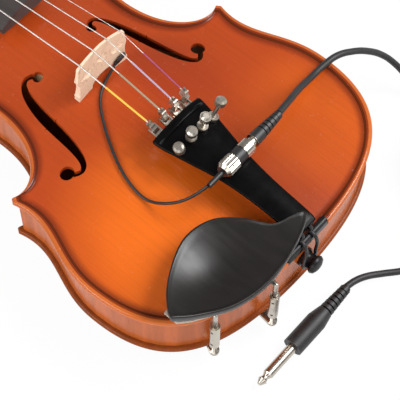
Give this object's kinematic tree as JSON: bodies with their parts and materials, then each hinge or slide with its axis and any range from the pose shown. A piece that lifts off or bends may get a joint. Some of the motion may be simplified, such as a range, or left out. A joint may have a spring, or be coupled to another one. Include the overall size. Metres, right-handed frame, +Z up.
{
  "type": "violin",
  "caption": "Full-size violin lying on its back, with chin rest, fine tuners and a bridge pickup whose wire runs to an inline connector, a coiled lead and a jack plug.",
  "frame": {"origin": "bottom centre of the bounding box of the violin without its lead, on the floor under the middle line", "axes": "+X to the treble side, +Y along the neck to the scroll, +Z up out of the belly"},
  "size_m": [0.2575, 0.6516, 0.0967],
  "materials": {
    "varnished_spruce": "glossy amber varnish",
    "varnished_maple": "glossy red-brown varnish",
    "bare_spruce": "unvarnished",
    "dyed_wood": "inlaid, under varnish",
    "ebony": "satin",
    "black_composite": "satin",
    "bare_maple": "bare, flecked",
    "wound_steel": "wound",
    "nickel": "bright plated",
    "dark_rest": "satin black-brown",
    "cork": "matte",
    "pickup_black": "satin",
    "wire_skin": "satin",
    "plug_nickel": "bright plated",
    "lead_skin": "satin",
    "plug_black": "smooth"
  },
  "bodies": {
    "violin": {"top_plate": "varnished_spruce", "back_plate": "varnished_maple", "upper_ribs": "varnished_maple", "waist_ribs": "varnished_maple", "lower_ribs": "varnished_maple", "linings": "bare_spruce", "corner_blocks": "bare_spruce", "neck_block": "bare_spruce", "end_block": "bare_spruce", "bass_bar": "bare_spruce", "sound_post": "bare_spruce", "purfling": "dyed_wood", "neck": "varnished_maple", "fingerboard": "ebony", "nut": "ebony", "saddle": "ebony", "endpin": "ebony", "bridge": "bare_maple", "tailpiece": "black_composite", "tail_gut": "black_composite", "string_g": "wound_steel", "string_d": "wound_steel", "string_a": "wound_steel", "string_e": "wound_steel", "tuner_brackets": "nickel", "tuner_nuts": "nickel", "chinrest": "dark_rest", "chinrest_cork": "cork", "clamp_legs": "nickel", "pickup": "pickup_black", "pickup_wire": "wire_skin", "pickup_socket": "plug_nickel", "phono_plug": "plug_nickel", "lead_near": "lead_skin", "lead_coil": "lead_skin", "lead_far": "lead_skin", "jack_body": "plug_black", "jack_shank": "plug_nickel"},
    "peg_g": {"peg_g": "ebony"},
    "peg_d": {"peg_d": "ebony"},
    "peg_a": {"peg_a": "ebony"},
    "peg_e": {"peg_e": "ebony"},
    "tuner_screw_g": {"tuner_screw_g": "nickel"},
    "tuner_screw_d": {"tuner_screw_d": "nickel"},
    "tuner_screw_a": {"tuner_screw_a": "nickel"},
    "tuner_screw_e": {"tuner_screw_e": "nickel"},
    "tuner_knob_g": {"tuner_knob_g": "nickel"},
    "tuner_knob_d": {"tuner_knob_d": "nickel"},
    "tuner_knob_a": {"tuner_knob_a": "nickel"},
    "tuner_knob_e": {"tuner_knob_e": "nickel"},
    "tuner_lever_g": {"tuner_lever_g": "nickel"},
    "tuner_lever_d": {"tuner_lever_d": "nickel"},
    "tuner_lever_a": {"tuner_lever_a": "nickel"},
    "tuner_lever_e": {"tuner_lever_e": "nickel"},
    "clamp_barrel_1": {"clamp_barrel_1": "nickel"},
    "clamp_barrel_2": {"clamp_barrel_2": "nickel"},
    "clamp_foot_1": {"clamp_foot_1": "nickel"},
    "clamp_foot_2": {"clamp_foot_2": "nickel"}
  },
  "joints": [
    {"name": "peg_g_turn", "type": "hinge", "parent": "violin", "child": "peg_g", "pos_m": [0, 0.20727, 0.03531], "axis": [1, 0, 0], "range_deg": [-720, 720]},
    {"name": "peg_e_turn", "type": "hinge", "parent": "violin", "child": "peg_e", "pos_m": [0, 0.22177, 0.03191], "axis": [1, 0, 0], "range_deg": [-720, 720]},
    {"name": "peg_d_turn", "type": "hinge", "parent": "violin", "child": "peg_d", "pos_m": [0, 0.23628, 0.0285], "axis": [1, 0, 0], "range_deg": [-720, 720]},
    {"name": "peg_a_turn", "type": "hinge", "parent": "violin", "child": "peg_a", "pos_m": [0, 0.25078, 0.02509], "axis": [1, 0, 0], "range_deg": [-720, 720]},
    {"name": "tuner_screw_g_feed", "type": "slide", "parent": "violin", "child": "tuner_screw_g", "axis": [-0.3067, -0.1407, 0.9414], "range_m": [-0.0012, 0.0018]},
    {"name": "tuner_knob_g_turn", "type": "hinge", "parent": "tuner_screw_g", "child": "tuner_knob_g", "pos_m": [-0.0138, -0.20832, 0.07662], "axis": [-0.3067, -0.1407, 0.9414], "range_deg": [-866, 1298]},
    {"name": "tuner_lever_g_tilt", "type": "hinge", "parent": "violin", "child": "tuner_lever_g", "pos_m": [-0.01245, -0.18792, 0.07544], "axis": [0.9518, -0.0453, 0.3033], "range_deg": [-5.21, 3.49]},
    {"name": "tuner_screw_d_feed", "type": "slide", "parent": "violin", "child": "tuner_screw_d", "axis": [-0.1022, -0.147, 0.9838], "range_m": [-0.002, 0.0018]},
    {"name": "tuner_knob_d_turn", "type": "hinge", "parent": "tuner_screw_d", "child": "tuner_knob_d", "pos_m": [-0.0046, -0.2086, 0.07853], "axis": [-0.1022, -0.147, 0.9838], "range_deg": [-1442, 1298]},
    {"name": "tuner_lever_d_tilt", "type": "hinge", "parent": "violin", "child": "tuner_lever_d", "pos_m": [-0.00415, -0.18818, 0.07716], "axis": [0.9948, -0.0151, 0.1011], "range_deg": [-5.21, 5.78]},
    {"name": "tuner_screw_a_feed", "type": "slide", "parent": "violin", "child": "tuner_screw_a", "axis": [0.1022, -0.147, 0.9838], "range_m": [-0.002, 0.0018]},
    {"name": "tuner_knob_a_turn", "type": "hinge", "parent": "tuner_screw_a", "child": "tuner_knob_a", "pos_m": [0.0046, -0.2086, 0.07853], "axis": [0.1022, -0.147, 0.9838], "range_deg": [-1442, 1298]},
    {"name": "tuner_lever_a_tilt", "type": "hinge", "parent": "violin", "child": "tuner_lever_a", "pos_m": [0.00415, -0.18818, 0.07716], "axis": [0.9948, 0.0151, -0.1011], "range_deg": [-5.21, 5.78]},
    {"name": "tuner_screw_e_feed", "type": "slide", "parent": "violin", "child": "tuner_screw_e", "axis": [0.3067, -0.1407, 0.9414], "range_m": [-0.002, 0.0018]},
    {"name": "tuner_knob_e_turn", "type": "hinge", "parent": "tuner_screw_e", "child": "tuner_knob_e", "pos_m": [0.0138, -0.20832, 0.07662], "axis": [0.3067, -0.1407, 0.9414], "range_deg": [-1442, 1298]},
    {"name": "tuner_lever_e_tilt", "type": "hinge", "parent": "violin", "child": "tuner_lever_e", "pos_m": [0.01245, -0.18792, 0.07544], "axis": [0.9518, 0.0453, -0.3033], "range_deg": [-5.21, 5.78]},
    {"name": "clamp_foot_1_drop", "type": "slide", "parent": "violin", "child": "clamp_foot_1", "axis": [0, 0, 1], "range_m": [-0.004, 0]},
    {"name": "clamp_barrel_1_turn", "type": "hinge", "parent": "violin", "child": "clamp_barrel_1", "pos_m": [-0.07142, -0.2844, 0.031], "axis": [0, 0, 1], "range_deg": [0, 2060]},
    {"name": "clamp_foot_2_drop", "type": "slide", "parent": "violin", "child": "clamp_foot_2", "axis": [0, 0, 1], "range_m": [-0.004, 0]},
    {"name": "clamp_barrel_2_turn", "type": "hinge", "parent": "violin", "child": "clamp_barrel_2", "pos_m": [-0.03541, -0.29751, 0.031], "axis": [0, 0, 1], "range_deg": [0, 2060]}
  ],
  "couplings": [
    {"joint": "tuner_knob_g_turn", "follows": "tuner_screw_g_feed", "rad_per_m": 12566},
    {"joint": "tuner_lever_g_tilt", "follows": "tuner_screw_g_feed", "rad_per_m": -50},
    {"joint": "tuner_knob_d_turn", "follows": "tuner_screw_d_feed", "rad_per_m": 12566},
    {"joint": "tuner_lever_d_tilt", "follows": "tuner_screw_d_feed", "rad_per_m": -50},
    {"joint": "tuner_knob_a_turn", "follows": "tuner_screw_a_feed", "rad_per_m": 12566},
    {"joint": "tuner_lever_a_tilt", "follows": "tuner_screw_a_feed", "rad_per_m": -50},
    {"joint": "tuner_knob_e_turn", "follows": "tuner_screw_e_feed", "rad_per_m": 12566},
    {"joint": "tuner_lever_e_tilt", "follows": "tuner_screw_e_feed", "rad_per_m": -50},
    {"joint": "clamp_barrel_1_turn", "follows": "clamp_foot_1_drop", "rad_per_m": -8976},
    {"joint": "clamp_barrel_2_turn", "follows": "clamp_foot_2_drop", "rad_per_m": -8976}
  ]
}
